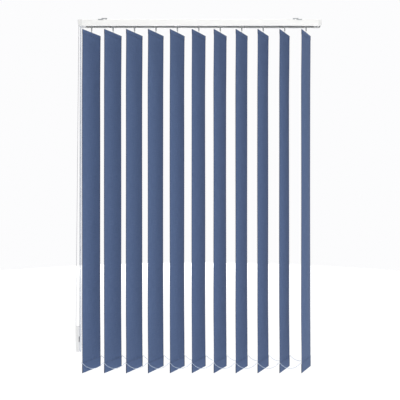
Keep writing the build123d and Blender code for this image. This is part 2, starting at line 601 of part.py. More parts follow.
def idle_end_housing():
    """The end cap, with the tongue that carries the return pulley and the rod's far bearing."""
    outer = block((RAIL_RIGHT, IDLE_END), around(PIVOT_Y, RAIL_DEPTH), (RAIL_BOTTOM, RAIL_TOP))
    outer = fillet(outer.edges().filter_by(Axis.X), RAIL_CORNER)
    outer = fillet(outer.faces().sort_by(Axis.X)[-1].edges(), 1.5)
    inside = around(PIVOT_Y, RAIL_DEPTH - 2 * HOUSING_WALL)
    levels = (RAIL_BOTTOM + HOUSING_WALL, RAIL_TOP - HOUSING_WALL)
    housing = outer - block((RAIL_RIGHT - 1, IDLE_END - HOUSING_WALL), inside, levels)
    tongue_start = RETURN_PULLEY_X - RETURN_PULLEY
    slot = (RAIL_RIGHT - 1, IDLE_END - HOUSING_WALL)
    housing -= block(slot, around(PIVOT_Y, RAIL_SLOT), (RAIL_BOTTOM - 1, RAIL_BOTTOM + HOUSING_WALL))
    floor = (FLANGE_TOP + TONGUE_LIFT, FLANGE_TOP + TONGUE_LIFT + HOUSING_WALL)
    tongue = block((tongue_start, RAIL_RIGHT + 2), around(PIVOT_Y, 2 * (CAVITY - RUNNING)), floor)
    housing += tongue
    pulley_bottom = CORD_Z - PULLEY_WIDTH / 2 - RUNNING
    web = block((RAIL_RIGHT, RAIL_RIGHT + WEB), inside, (RAIL_BOTTOM + 1, pulley_bottom))
    housing += web
    rod_bearing = ROD_FLATS / 2 / cos(pi / 6) + FIT
    housing -= rod_x((RAIL_RIGHT - 1, RAIL_RIGHT + WEB + 2), ROD_Y, ROD_Z, rod_bearing)
    pin_top = CORD_Z + PULLEY_WIDTH / 2 + 1
    housing += rod_z(RETURN_PULLEY_X, PIVOT_Y, (floor[0] + 1, pin_top), AXLE_RADIUS)
    housing += rod_z(RETURN_PULLEY_X, PIVOT_Y, (floor[0] + 1, pulley_bottom), AXLE_RADIUS + 1.5)
    return only_solid(housing)


# ---- Writing the nodes --------------------------------------------------------------------------


def write(name, *solids):
    """Writes one node, made of one or more solids."""
    shape = solids[0] if len(solids) == 1 else Compound(children=list(solids))
    shape.label = name
    export_step(shape, f"parts/{name}.step")


def main():
    os.makedirs("parts", exist_ok=True)
    write("headrail", headrail())
    brackets = []
    for side in (-1, 1):
        x = side * BRACKET_SPACING / 2
        brackets += [wall_bracket(x), rail_clip(x), clip_screw(x)]
    write("wall_brackets", *brackets)
    write("control_end_housing", control_end_housing())
    write("idle_end_housing", idle_end_housing())
    write("tilt_rod", tilt_rod())
    write("chain_wheel", chain_wheel())

    stem_piece, fabric, hanger, weight = stem(), vane_fabric(), vane_hanger(), vane_weight()
    for number in range(1, VANE_COUNT + 1):
        label = f"{number:02d}"
        links = [spacer_link(number)] if number < VANE_COUNT else []
        write("carrier_" + label, carrier(number), *links)
        write("worm_" + label, worm(number))
        write("stem_" + label, on_stem(number, stem_piece))
        write("vane_" + label, *[on_stem(number, piece) for piece in (fabric, hanger, weight)])

    for name, side in (("spacer_chain_front", -1), ("spacer_chain_back", 1)):
        points = spacer_chain(side)
        write(name, tube(name, points, free_radii(points), SPACER_CHAIN))

    points = bead_chain_points()
    radii = free_radii(points)
    radii[0] = radii[-1] = ARC_SHARE * (WHEEL_CHAIN - 0.2)
    write("operating_chain", tube("operating_chain", points, radii, BEAD_CHAIN))

    inside_radii = [ARC_SHARE * RETURN_PULLEY] * 2
    write("traverse_cord_inside", tube("traverse_cord_inside", inside_cord_points(), inside_radii, CORD))
    over = ARC_SHARE * CONTROL_PULLEY
    under = ARC_SHARE * WEIGHT_PULLEY
    hanging = tube("traverse_cord_loop", hanging_cord_points(), [over, under, under, over], CORD)
    write("traverse_cord_loop", hanging)

    write("cord_weight", cord_weight())
    write("cord_weight_pulley", upright_pulley(WEIGHT_PULLEY, CORD_WEIGHT_X, PIVOT_Y, WEIGHT_PULLEY_Z))
    for name, side in (("control_pulley_front", -1), ("control_pulley_back", 1)):
        y = PIVOT_Y + side * CORD_SIDE
        write(name, upright_pulley(CONTROL_PULLEY, CONTROL_PULLEY_X, y, CONTROL_PULLEY_Z))
    write("return_pulley", only_solid(Pos(RETURN_PULLEY_X, PIVOT_Y, CORD_Z) * pulley(RETURN_PULLEY)))


main()
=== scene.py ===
"""Vertical blind: eleven blue fabric vanes on a slim white headrail.

Lengths are in metres, in the frame of the construction model: X along the rail, Y towards the wall, Z up.
The hard pieces are the construction model's own, with a finish. The cloth, the vanes' inner plates, the
chains, the cords and the cord weight's catch are made here as surfaces worked out on grids.
"""

from math import cos, pi, radians, sin

import bpy
import numpy as np
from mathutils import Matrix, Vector


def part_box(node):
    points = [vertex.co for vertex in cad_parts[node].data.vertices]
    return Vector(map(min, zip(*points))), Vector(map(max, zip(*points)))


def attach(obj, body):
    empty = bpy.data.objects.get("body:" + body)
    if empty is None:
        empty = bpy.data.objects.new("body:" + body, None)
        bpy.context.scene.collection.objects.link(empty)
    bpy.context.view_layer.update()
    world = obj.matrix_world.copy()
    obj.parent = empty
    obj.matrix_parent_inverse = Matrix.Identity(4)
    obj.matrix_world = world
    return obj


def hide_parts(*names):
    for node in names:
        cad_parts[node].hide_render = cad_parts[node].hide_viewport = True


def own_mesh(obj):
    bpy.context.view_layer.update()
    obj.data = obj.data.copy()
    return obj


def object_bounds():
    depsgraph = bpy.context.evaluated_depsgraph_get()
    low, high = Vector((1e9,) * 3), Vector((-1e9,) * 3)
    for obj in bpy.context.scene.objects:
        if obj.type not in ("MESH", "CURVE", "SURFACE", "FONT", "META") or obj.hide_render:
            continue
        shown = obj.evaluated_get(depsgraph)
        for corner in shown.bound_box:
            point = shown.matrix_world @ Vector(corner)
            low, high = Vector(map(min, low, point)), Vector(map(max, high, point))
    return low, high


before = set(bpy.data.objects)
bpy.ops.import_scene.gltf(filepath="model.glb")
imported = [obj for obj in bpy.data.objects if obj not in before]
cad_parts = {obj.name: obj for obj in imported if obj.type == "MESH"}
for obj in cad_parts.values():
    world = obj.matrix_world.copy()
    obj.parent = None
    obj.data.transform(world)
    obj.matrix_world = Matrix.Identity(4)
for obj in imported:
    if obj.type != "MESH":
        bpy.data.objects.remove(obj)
CAD_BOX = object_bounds()
MM = 0.001

# ---- Sizes of the blind -------------------------------------------------------------------------

VANE_COUNT = 11
VANE_WIDTH = 127 * MM
VANE_LENGTH = 1760 * MM
VANE_ANGLE = radians(56.3)  # between a vane and the rail
VANE_CUP = 6.5 * MM  # how far the cloth bows across its width, half way down
CUP_GROWS = 300 * MM  # how far from a pocket the bow is whole
WAVER = 0.8 * MM  # how far one edge stands out before the other where the vane twists most
WAVER_GROWS = 200 * MM  # how far from a pocket the twist is whole
CLOTH = 0.5 * MM
TOP_POCKET = 24 * MM
FOOT_POCKET = 54 * MM
SEAM_ROWS = (1.0 * MM, 3.4 * MM)  # a twin-needle seam's rows, from the pocket's edge
STITCH = 3.6 * MM
STITCH_RADIUS = 0.45 * MM  # about twice the real thread's, so that the seam shows

# The plates in a vane's two pockets: width, height and thickness.
HANGER = (60 * MM, 20 * MM, 1.0 * MM)
WEIGHT = (118 * MM, 52 * MM, 1.6 * MM)

ARM_HEIGHT = 4 * MM
EYE_REACH = 4.7 * MM  # from the cloth's edge to the middle of a chain eye
EYE_HEIGHT = 53.5 * MM
EYE_RADIUS = 3.6 * MM
EYE_BORE = 1.9 * MM  # radius of the eye's hole
EYE_WIDTH = 2.4 * MM
TAB_WIDTH = 7 * MM
TAB_ABOVE_NUB = 3.5 * MM
NUB_ABOVE_FOOT = 3.4 * MM
NUB_RADIUS = 1.3 * MM

# Radii of wheels and pulleys run to the middle of the chain or cord on them.
CHAIN_BEAD = 3.2 * MM
BEAD_PITCH = 4.3 * MM
CHAIN_END = 2.4 * MM  # how far a spacer chain runs on past its last eye
WHEEL_RADIUS = 7.6 * MM
CORD = 2.0 * MM
CORD_LEAD = 6 * CORD  # from a turn of a tight cord to its straight run's own point
CONTROL_PULLEY_RADIUS = 8 * MM
WEIGHT_PULLEY_RADIUS = 9.5 * MM
CATCH = (3.4 * MM, 28 * MM, 3.0 * MM)  # width, height and depth of the cord weight's catch

# ---- Sizes of the studio ------------------------------------------------------------------------

FOCAL_LENGTH = 42.52  # in millimetres, as the sensor's width is
SENSOR_WIDTH = 36
CAMERA_DISTANCE = 2.467
CAMERA_ABOVE_MIDDLE = 5.5 * MM
VIEW_DEPTH = 50  # how far the camera sees
FLOOR_DROP = 0.25  # from the blind's foot
FLOOR_RADIUS = 6.0
SOFT_LIGHT_SIZE = (3.0, 4.0)
SOFT_LIGHTS = {  # place from the blind's middle, and power in watts
    "key": ((0.6, -6.5, 0.3), 232),
    "fill": ((-0.6, 6.5, 0.6), 110),
}

# ---- Colour and nodes ---------------------------------------------------------------------------


def linear(code):
    """An sRGB hex colour as linear red, green, blue and alpha."""
    levels = np.array([int(code[i : i + 2], 16) for i in (1, 3, 5)]) / 255
    low = levels / 12.92
    high = ((levels + 0.055) / 1.055) ** 2.4
    return (*np.where(levels <= 0.04045, low, high).tolist(), 1.0)


def node(tree, kind, settings=None, inputs=None):
    """Adds one node. An input is a value, or another node's output to be linked."""
    made = tree.nodes.new(kind)
    for name, value in (settings or {}).items():
        setattr(made, name, value)
    for name, value in (inputs or {}).items():
        if isinstance(value, bpy.types.NodeSocket):
            tree.links.new(value, made.inputs[name])
        else:
            made.inputs[name].default_value = value
    return made


def new_material(name, shader=None):
    """A material with its shader: returns the material, its tree and the shader node."""
    made = bpy.data.materials.new(name)
    made.use_nodes = True
    tree = made.node_tree
    tree.nodes.clear()
    surface = node(tree, "ShaderNodeBsdfPrincipled", inputs=shader)
    node(tree, "ShaderNodeOutputMaterial", inputs={"Surface": surface.outputs["BSDF"]})
    return made, tree, surface


def roughened(tree, surface, place, grain, roughness, bump):
    """Noise of a real grain size varies the roughness between two values and lifts a fine bump.

    The bump is given by its strength and its height.
    """
    noise = node(
        tree,
        "ShaderNodeTexNoise",
        inputs={"Vector": place, "Scale": 1 / grain, "Detail": 3.0, "Roughness": 0.55},
    )
    span = {"From Min": 0.3, "From Max": 0.7, "To Min": roughness[0], "To Max": roughness[1]}
    spread = node(tree, "ShaderNodeMapRange", inputs={"Value": noise.outputs["Fac"], **span})
    tree.links.new(spread.outputs["Result"], surface.inputs["Roughness"])
    strength, height = bump
    lift = node(
        tree,
        "ShaderNodeBump",
        inputs={"Height": noise.outputs["Fac"], "Strength": strength, "Distance": height},
    )
    tree.links.new(lift.outputs["Normal"], surface.inputs["Normal"])
    return noise


def object_place(tree):
    """Object coordinates, in metres."""
    return node(tree, "ShaderNodeTexCoord").outputs["Object"]


def cloth_place(tree):
    """The piece's own map: on a vane in metres, on a cord once round it and in metres along it."""
    return node(tree, "ShaderNodeUVMap", {"uv_map": "cloth"}).outputs["UV"]


def tinted(tree, surface, factor, first, second):
    """The base colour goes from one sRGB colour, or another node's output, to a second with a factor."""
    start = first if isinstance(first, bpy.types.NodeSocket) else linear(first)
    mix = node(
        tree,
        "ShaderNodeMix",
        {"data_type": "RGBA"},
        {"Factor": factor, "A": start, "B": linear(second)},
    )
    tree.links.new(mix.outputs["Result"], surface.inputs["Base Color"])
    return mix.outputs["Result"]


def mottled(name, grain, roughness, bump, tones, shader=None):
    """A material whose roughness, bump and tone all follow one noise of a real grain size."""
    made, tree, surface = new_material(name, shader)
    noise = roughened(tree, surface, object_place(tree), grain, roughness, bump)
    tinted(tree, surface, noise.outputs["Fac"], *tones)
    return made


def crossed_waves(tree, place, phases):
    """Crossing threads: the product of two sines, whose phases rise by so much along the map's u and v."""
    parts = node(tree, "ShaderNodeSeparateXYZ", inputs={"Vector": place})
    waves = []
    for per_u, per_v in phases:
        lengthways = node(
            tree,
            "ShaderNodeMath",
            {"operation": "MULTIPLY"},
            {0: parts.outputs["Y"], 1: per_v},
        )
        phase = node(
            tree,
            "ShaderNodeMath",
            {"operation": "MULTIPLY_ADD"},
            {0: parts.outputs["X"], 1: per_u, 2: lengthways.outputs[0]},
        )
        waves.append(node(tree, "ShaderNodeMath", {"operation": "SINE"}, {0: phase.outputs[0]}).outputs[0])
    return node(tree, "ShaderNodeMath", {"operation": "MULTIPLY"}, {0: waves[0], 1: waves[1]}).outputs[0]


def slubs(tree, place):
    """Thick places of the threads: one noise drawn out down the cloth, plus one drawn out across it."""
    drawn_out = []
    for across, down in ((1.5 * MM, 45 * MM), (38 * MM, 1.4 * MM)):
        laid = node(
            tree,
            "ShaderNodeMapping",
            inputs={"Vector": place, "Scale": (1 / across, 1 / down, 1)},
        )
        noise = node(
            tree,
            "ShaderNodeTexNoise",
            inputs={"Vector": laid.outputs["Vector"], "Scale": 1.0, "Detail": 2.0},
        )
        drawn_out.append(noise.outputs["Fac"])
    return node(tree, "ShaderNodeMath", {"operation": "ADD"}, {0: drawn_out[0], 1: drawn_out[1]}).outputs[0]


# ---- Materials ----------------------------------------------------------------------------------


def woven_polyester():
    """Plain-woven polyester, dyed blue and stiffened: matt, with slubs along both thread directions.

    The cloth's own map runs in metres, so the threads keep their size. Real threads are about 0.45 mm
    apart, too fine to show, and are drawn at twice that. Both long edges are painted darker, as painted
    shade.
    """
    made, tree, surface = new_material(
        "woven_polyester",
        {"Roughness": 0.82, "Sheen Weight": 0.06, "Sheen Roughness": 0.5, "Specular IOR Level": 0.12},
    )
    place = cloth_place(tree)
    thread = 0.9 * MM
    weave = crossed_waves(tree, place, ((2 * pi / thread, 0), (0, 2 * pi / thread)))
    slub = slubs(tree, place)
    tone = node(tree, "ShaderNodeMapRange", inputs={"Value": slub, "From Min": 0.7, "From Max": 1.3})
    cloth = tinted(tree, surface, tone.outputs["Result"], "#536689", "#607398")

    parts = node(tree, "ShaderNodeSeparateXYZ", inputs={"Vector": place})
    from_middle = node(tree, "ShaderNodeMath", {"operation": "ABSOLUTE"}, {0: parts.outputs["X"]})
    edge = VANE_WIDTH / 2
    # painted shade: the cloth darkens over the last few millimetres towards both long edges
    painted_edge_shade = node(
        tree,
        "ShaderNodeMapRange",
        inputs={"Value": from_middle.outputs[0], "From Min": edge - 4.5 * MM, "From Max": edge - 1.0 * MM},
    )
    tinted(tree, surface, painted_edge_shade.outputs["Result"], cloth, "#2f3a53")

    slub_share = 0.8
    height = node(tree, "ShaderNodeMath", {"operation": "MULTIPLY_ADD"}, {0: slub, 1: slub_share, 2: weave})
    bump = node(
        tree,
        "ShaderNodeBump",
        inputs={"Height": height.outputs[0], "Strength": 0.35, "Distance": 0.12 * MM},
    )
    tree.links.new(bump.outputs["Normal"], surface.inputs["Normal"])
    return made


def polyester_thread():
    """Blue sewing thread, a shade darker than the cloth and a little shinier."""
    return mottled(
        "polyester_thread",
        grain=0.8 * MM,
        roughness=(0.45, 0.65),
        bump=(0.2, 0.05 * MM),
        tones=("#26324f", "#35456c"),
        shader={"Sheen Weight": 0.3},
    )


def powder_coat():
    """White polyester powder coat on extruded aluminium: satin, with a faint orange peel.

    The powder doesn't reach the inside of the channel, which stays bare and dull, and is drawn a darker grey
    there as painted shade.
    """
    made, tree, surface = new_material("powder_coat", {"Coat Weight": 0.15, "Coat Roughness": 0.2})
    place = object_place(tree)
    noise = roughened(tree, surface, place, grain=1.8 * MM, roughness=(0.32, 0.42), bump=(0.12, 0.05 * MM))
    coat = tinted(tree, surface, noise.outputs["Fac"], "#f4f4f2", "#fafaf8")

    low, high = (np.array(corner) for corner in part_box("headrail"))
    middle, half = (low + high) / 2, (high - low) / 2
    centred = node(tree, "ShaderNodeVectorMath", {"operation": "SUBTRACT"}, {0: place, 1: middle.tolist()})
    distance = node(tree, "ShaderNodeVectorMath", {"operation": "ABSOLUTE"}, {0: centred.outputs["Vector"]})
    parts = node(tree, "ShaderNodeSeparateXYZ", inputs={"Vector": distance.outputs["Vector"]})
    wall = 1.2 * MM
    inside = []
    for axis, limit in (("Y", half[1] - wall), ("Z", half[2] - wall)):
        test = node(
            tree,
            "ShaderNodeMath",
            {"operation": "LESS_THAN"},
            {0: parts.outputs[axis], 1: float(limit)},
        )
        inside.append(test.outputs[0])
    both = node(tree, "ShaderNodeMath", {"operation": "MULTIPLY"}, {0: inside[0], 1: inside[1]})
    # inside the channel: bare metal, with painted shade in its darker grey
    tinted(tree, surface, both.outputs[0], coat, "#adafae")
    return made


def zinc_plated_steel():
    """Bright zinc plating on pressed steel strip: blue-grey, satin, with a faint spangle."""
    made, tree, surface = new_material("zinc_plated_steel", {"Metallic": 0.9})
    place = object_place(tree)
    roughened(tree, surface, place, grain=1.5 * MM, roughness=(0.32, 0.5), bump=(0.1, 0.03 * MM))
    spangle = node(
        tree,
        "ShaderNodeTexVoronoi",
        inputs={"Vector": place, "Scale": 1 / (4 * MM), "Randomness": 1.0},
    )
    tinted(tree, surface, spangle.outputs["Distance"], "#a9adb0", "#bec2c4")
    return made


def moulded_abs():
    """White ABS from a spark-eroded mould: fine even grain, faint flow marks."""
    made, tree, surface = new_material("moulded_abs", {"Specular IOR Level": 0.45})
    place = object_place(tree)
    roughened(tree, surface, place, grain=0.9 * MM, roughness=(0.38, 0.5), bump=(0.15, 0.04 * MM))
    flow = node(tree, "ShaderNodeTexNoise", inputs={"Vector": place, "Scale": 1 / (30 * MM), "Detail": 1.0})
    tinted(tree, surface, flow.outputs["Fac"], "#e2e2e1", "#ececea")
    return made


def painted_shade_acetal():
    """Acetal of the carriers, dark grey as painted shade for the shade in the rail where they run."""
    return mottled(
        "painted_shade_acetal",
        grain=1.2 * MM,
        roughness=(0.35, 0.5),
        bump=(0.1, 0.03 * MM),
        tones=("#3a3b3a", "#4a4b49"),
    )


def natural_acetal():
    """Uncoloured moulded acetal of the worms, the wheels and the vanes' hangers: milky and slick."""
    return mottled(
        "natural_acetal",
        grain=1.2 * MM,
        roughness=(0.28, 0.4),
        bump=(0.1, 0.03 * MM),
        tones=("#d5d6d4", "#e3e4e2"),
        shader={
            "Subsurface Weight": 0.12,
            "Subsurface Radius": (1 * MM, 1 * MM, 1 * MM),
            "Subsurface Scale": 1.0,
        },
    )


def grey_polycarbonate():
    """Smoked polycarbonate of the stems: glossy, and a little clear."""
    return mottled(
        "grey_polycarbonate",
        grain=1.5 * MM,
        roughness=(0.12, 0.24),
        bump=(0.06, 0.03 * MM),
        tones=("#a2a5a6", "#b0b3b4"),
        shader={"IOR": 1.585, "Transmission Weight": 0.15},
    )


def drawn_aluminium():
    """Bare extruded aluminium rod: fine lines along its length, from the die."""
    made, tree, surface = new_material("drawn_aluminium", {"Metallic": 1.0})
    along_rod = 0.01
    laid = node(
        tree,
        "ShaderNodeMapping",
        inputs={"Vector": object_place(tree), "Scale": (along_rod, 1, 1)},
    ).outputs["Vector"]
    lines = roughened(tree, surface, laid, grain=0.5 * MM, roughness=(0.28, 0.45), bump=(0.2, 0.03 * MM))
    tinted(tree, surface, lines.outputs["Fac"], "#b9bcbe", "#d2d4d6")
    return made


def chain_plastic():
    """Pale, milky plastic of ball chain: glossy beads on a cord core."""
    return mottled(
        "chain_plastic",
        grain=2.0 * MM,
        roughness=(0.16, 0.28),
        bump=(0.05, 0.03 * MM),
        tones=("#bccbe2", "#d5e0f0"),
        shader={"Coat Weight": 0.4, "Coat Roughness": 0.08, "Transmission Weight": 0.15, "IOR": 1.49},
    )


def braided_polyester():
    """Light grey sixteen-plait polyester cord, eight strands each way, crossing about every 1.2 mm; painted
    shade in the hollows.
    """
    made, tree, surface = new_material("braided_polyester", {"Roughness": 0.7, "Sheen Weight": 0.3})
    strands, strand_length = 8, 1.2 * MM
    round_it, lengthways = pi * strands, 2 * pi / strand_length
    plait = crossed_waves(tree, cloth_place(tree), ((round_it, lengthways), (round_it, -lengthways)))
    # painted shade: the colour follows the plait's height, darker in the hollows between the strands
    tone = node(tree, "ShaderNodeMapRange", inputs={"Value": plait, "From Min": -1.0, "From Max": 1.0})
    tinted(tree, surface, tone.outputs["Result"], "#8e9094", "#b2b3b7")
    bump = node(tree, "ShaderNodeBump", inputs={"Height": plait, "Strength": 0.5, "Distance": 0.12 * MM})
    tree.links.new(bump.outputs["Normal"], surface.inputs["Normal"])
    return made


def grey_rubber():
    """Dark grey elastomer of the weight's catch: matt, slightly dusty."""
    return mottled(
        "grey_rubber",
        grain=0.7 * MM,
        roughness=(0.6, 0.8),
        bump=(0.2, 0.05 * MM),
        tones=("#5c5c5f", "#707074"),
    )


def coated_steel_plate():
    """Plastic-dipped steel of the vanes' weights: thick, slightly uneven white skin."""
    return mottled(
        "coated_steel_plate",
        grain=3.0 * MM,
        roughness=(0.3, 0.45),
        bump=(0.25, 0.08 * MM),
        tones=("#dfe3ea", "#edf0f4"),
        shader={"Coat Weight": 0.25, "Coat Roughness": 0.2},
    )


# ---- Surfaces -----------------------------------------------------------------------------------


def grid_faces(rows, columns, wrap):
    """Quads between neighbouring rows and columns of a grid; wrap joins the last column to the first."""
    across = columns if wrap else columns - 1
    row, column = np.meshgrid(np.arange(rows - 1), np.arange(across), indexing="ij")
    following = (column + 1) % columns
    corners = [row * columns + column, row * columns + following]
    corners += [(row + 1) * columns + following, (row + 1) * columns + column]
    return np.stack(corners, axis=-1).reshape(-1, 4), row, column


def grid_map(rows_at, columns_at, row, column):
    """Each quad's four map corners, from one value per row and one per column edge."""
    start, end = columns_at[column], columns_at[column + 1]
    near, far = rows_at[row], rows_at[row + 1]
    u, v = np.stack([start, end, end, start], axis=-1), np.stack([near, near, far, far], axis=-1)
    return np.stack([u, v], axis=-1).reshape(-1, 2)


def end_faces(rows, sides):
    """The two faces that close a tube of rings."""
    return [list(range(sides))[::-1], list(range((rows - 1) * sides, rows * sides))]


def new_piece(name, points, faces, material, uv=None):
    """A smooth mesh object at the origin, with its place in its mesh."""
    mesh = bpy.data.meshes.new(name)
    mesh.from_pydata(np.asarray(points).reshape(-1, 3).tolist(), [], [list(face) for face in faces])
    if uv is not None:
        layer = mesh.uv_layers.new(name="cloth")
        layer.data.foreach_set("uv", np.asarray(uv, dtype=np.float32).ravel())
    mesh.polygons.foreach_set("use_smooth", [True] * len(mesh.polygons))
    mesh.materials.append(material)
    mesh.validate()
    made = bpy.data.objects.new(name, mesh)
    bpy.context.scene.collection.objects.link(made)
    return made


def joined(shapes):
    """Several (points, faces) as one."""
    points, faces, start = [], [], 0
    for shape_points, shape_faces in shapes:
        points.append(np.asarray(shape_points).reshape(-1, 3))
        faces += [[index + start for index in face] for face in shape_faces]
        start += len(points[-1])
    return np.concatenate(points), faces


def rounded_outline(width, height, corner):
    """A rectangle's outline with quarter-circle corners, anticlockwise from its right side."""
    turn = np.linspace(0, pi / 2, 6)
    stretches = []
    for quarter, (side, level) in enumerate([(1, 1), (-1, 1), (-1, -1), (1, -1)]):
        angle = turn + quarter * pi / 2
        x = side * (width / 2 - corner) + corner * np.cos(angle)
        z = level * (height / 2 - corner) + corner * np.sin(angle)
        stretches.append(np.stack([x, z], axis=-1))
    return np.concatenate(stretches)


def slab(width, height, thickness, corner, bevel):
    """A plate in the XZ plane: rings of a rounded rectangle, drawn in by a quarter circle at each face.

    A corner's radius shrinks by nine tenths of what its ring is drawn in, so it stays round.
    """
    quarter = np.linspace(0, pi / 2, 4)
    inset = bevel * (1 - np.sin(quarter))
    depth = thickness / 2 - bevel * (1 - np.cos(quarter))
    rings = []
    for drawn_in, y in zip([*inset, *inset[::-1]], [*-depth, *depth[::-1]]):
        ring = rounded_outline(width - 2 * drawn_in, height - 2 * drawn_in, corner - drawn_in * 0.9)
        rings.append(np.stack([ring[:, 0], np.full(len(ring), y), ring[:, 1]], axis=-1))
    points = np.array(rings)
    rows, columns = points.shape[:2]
    return points.reshape(-1, 3), grid_faces(rows, columns, True)[0].tolist() + end_faces(rows, columns)


def ring_about_x(radius, bore, width):
    """An eye about X: a closed section turned round the axis.

    The section is (cos a, sin a), each to the power 0.7 with its sign kept: squarer than an oval.
    """
    sides, fullness = 20, 0.7
    around = np.linspace(0, 2 * pi, 10, endpoint=False)
    middle, half = (radius + bore) / 2, (radius - bore) / 2
    reach = middle + half * np.sign(np.cos(around)) * np.abs(np.cos(around)) ** fullness
    along = width / 2 * np.sign(np.sin(around)) * np.abs(np.sin(around)) ** fullness
    turn = np.linspace(0, 2 * pi, sides, endpoint=False)[:, None]
    points = np.stack([along + 0 * turn, reach * np.cos(turn), reach * np.sin(turn)], axis=-1)
    faces = grid_faces(sides + 1, len(around), True)[0] % (sides * len(around))
    return points.reshape(-1, 3), faces.tolist()


def on_stem(points, axis, angle=VANE_ANGLE):
    """Points made about a stem's axis, turned to the vanes' angle and moved to that stem."""
    points = np.asarray(points)
    x = points[..., 0] * cos(angle) - points[..., 1] * sin(angle) + axis[0]
    y = points[..., 0] * sin(angle) + points[..., 1] * cos(angle) + axis[1]
    return np.stack([x, y, points[..., 2]], axis=-1)


def moved(shape, offset, turned=0.0):
    """A (points, faces) turned about Z and then moved."""
    points = on_stem(shape[0], (0, 0), turned) + np.asarray(offset)
    return points, shape[1]


def distances_along(line):
    """Each point's distance from a line's start, along it."""
    return np.concatenate([[0], np.cumsum(np.linalg.norm(np.diff(line, axis=0), axis=1))])


# ---- Vanes --------------------------------------------------------------------------------------


def smooth_step(value):
    """0 below 0, 1 above 1, and 3v² - 2v³ between."""
    held = np.clip(value, 0, 1)
    return held * held * (3 - 2 * held)


def straight(offset, start, end, rows):
    """A straight stretch of the cloth's line: one offset, and heights from a start to an end."""
    return np.stack([np.full(rows, offset), np.linspace(start, end, rows)], axis=-1)


def strip_profile(low, high):
    """The cloth's line from the top hem's free edge to the foot hem's, as offsets across it and heights.

    It goes up behind the hanger plate, over it and down in front, joins the seam, hangs straight, and goes
    round the weight plate in the same way at the foot. The folds are half circles about the plates.
    """
    beside = 0.7 * CLOTH
    top_gap = HANGER[2] / 2 + beside
    foot_gap = WEIGHT[2] / 2 + beside
    seam = 3 * MM
    fold = 3 * MM
    top_seam, foot_seam = high - TOP_POCKET, low + FOOT_POCKET
    over = np.linspace(0, pi, 7)
    top_fold = [top_gap * np.cos(over), high - top_gap + top_gap * np.sin(over) - CLOTH / 2]
    foot_fold = [-foot_gap * np.cos(over), low + foot_gap - foot_gap * np.sin(over) + CLOTH / 2]
    stretches = [
        straight(CLOTH, top_seam - seam, top_seam, 2),
        straight(top_gap, top_seam + seam, high - fold, 5),
        np.stack(top_fold, axis=-1),
        straight(-top_gap, high - fold, top_seam + seam, 5),
        straight(0.0, top_seam, foot_seam, 70),
        straight(-foot_gap, foot_seam - seam, low + fold, 9),
        np.stack(foot_fold, axis=-1),
        straight(foot_gap, low + fold, foot_seam - seam, 9),
        straight(CLOTH, foot_seam, foot_seam + seam, 2),
    ]
    return np.concatenate(stretches)


def vane_cloth(number, axis, low, high, material):
    """The vane's strip: its profile carried across its width, bowed and a little twisted.

    The bow is cup x ((2s / width)² - 0.7) at s from the middle, so the edges move little. It is nothing
    where the hanger and the weight hold the cloth flat, and grows to its full depth away from them. Its
    depth and the twist, a slow sine of the height, differ from vane to vane by sines of the vane's number.
    """
    profile = strip_profile(low, high)
    across = np.linspace(-VANE_WIDTH / 2, VANE_WIDTH / 2, 25)
    height = profile[:, 1][:, None]
    from_ends = np.minimum(height - low - FOOT_POCKET, high - TOP_POCKET - height)
    cup = VANE_CUP * (1 + 0.12 * sin(2.1 * number)) * smooth_step(from_ends / CUP_GROWS)
    shape = (2 * across / VANE_WIDTH) ** 2 - 0.7
    waver = WAVER * np.sin(height * 5 + number * 1.7) * smooth_step(from_ends / WAVER_GROWS)
    offset = profile[:, 0][:, None] + cup * shape + waver * across / VANE_WIDTH
    points = np.stack([across + 0 * height, offset, height + 0 * across], axis=-1)
    faces, row, column = grid_faces(len(profile), len(across), False)
    run = distances_along(profile)
    made = new_piece(
        f"vane_cloth_{number:02d}",
        on_stem(points, axis),
        faces.tolist(),
        material,
        grid_map(run, across, row, column),
    )
    wall = made.modifiers.new("cloth_thickness", "SOLIDIFY")
    wall.thickness = CLOTH
    wall.offset = 0
    return made, float(run[-1])


def stitch_row(level, lift):
    """Stitches across a vane at one height, on both faces: short beads of thread, nose to tail.

    A stitch's radius is the thread's x sqrt(1 - s²), for s from -1 to 1 along it, and never quite nothing.
    """
    count = int(VANE_WIDTH / STITCH)
    rings, sides = 5, 6
    half_length = 0.42 * STITCH
    turn = np.linspace(0, 2 * pi, sides, endpoint=False)
    along = np.linspace(-1, 1, rings)
    girth = STITCH_RADIUS * np.sqrt(np.clip(1 - along**2, 0.02, 1))[:, None]
    bead_x = (along * half_length)[:, None] + 0 * turn
    bead = np.stack([bead_x, girth * np.cos(turn), girth * np.sin(turn)], axis=-1).reshape(-1, 3)
    faces = grid_faces(rings, sides, True)[0].tolist() + end_faces(rings, sides)
    shapes = []
    for face_side in (-1, 1):
        for index in range(count):
            x = (index + 0.5) * STITCH - count * STITCH / 2
            shapes.append((bead + np.array([x, face_side * lift, level]), faces))
    return joined(shapes)


def vane_stitching(number, axis, low, high, material):
    """The twin-needle seams that close the two pockets, on the cloth where it parts round the plates."""
    top_lift, foot_lift = 1.1 * MM, 1.3 * MM
    rows = []
    for inset in SEAM_ROWS:
        rows.append(stitch_row(high - TOP_POCKET + inset, top_lift))
        rows.append(stitch_row(low + FOOT_POCKET - inset, foot_lift))
    points, faces = joined(rows)
    return new_piece(f"vane_stitching_{number:02d}", on_stem(points, axis), faces, material)


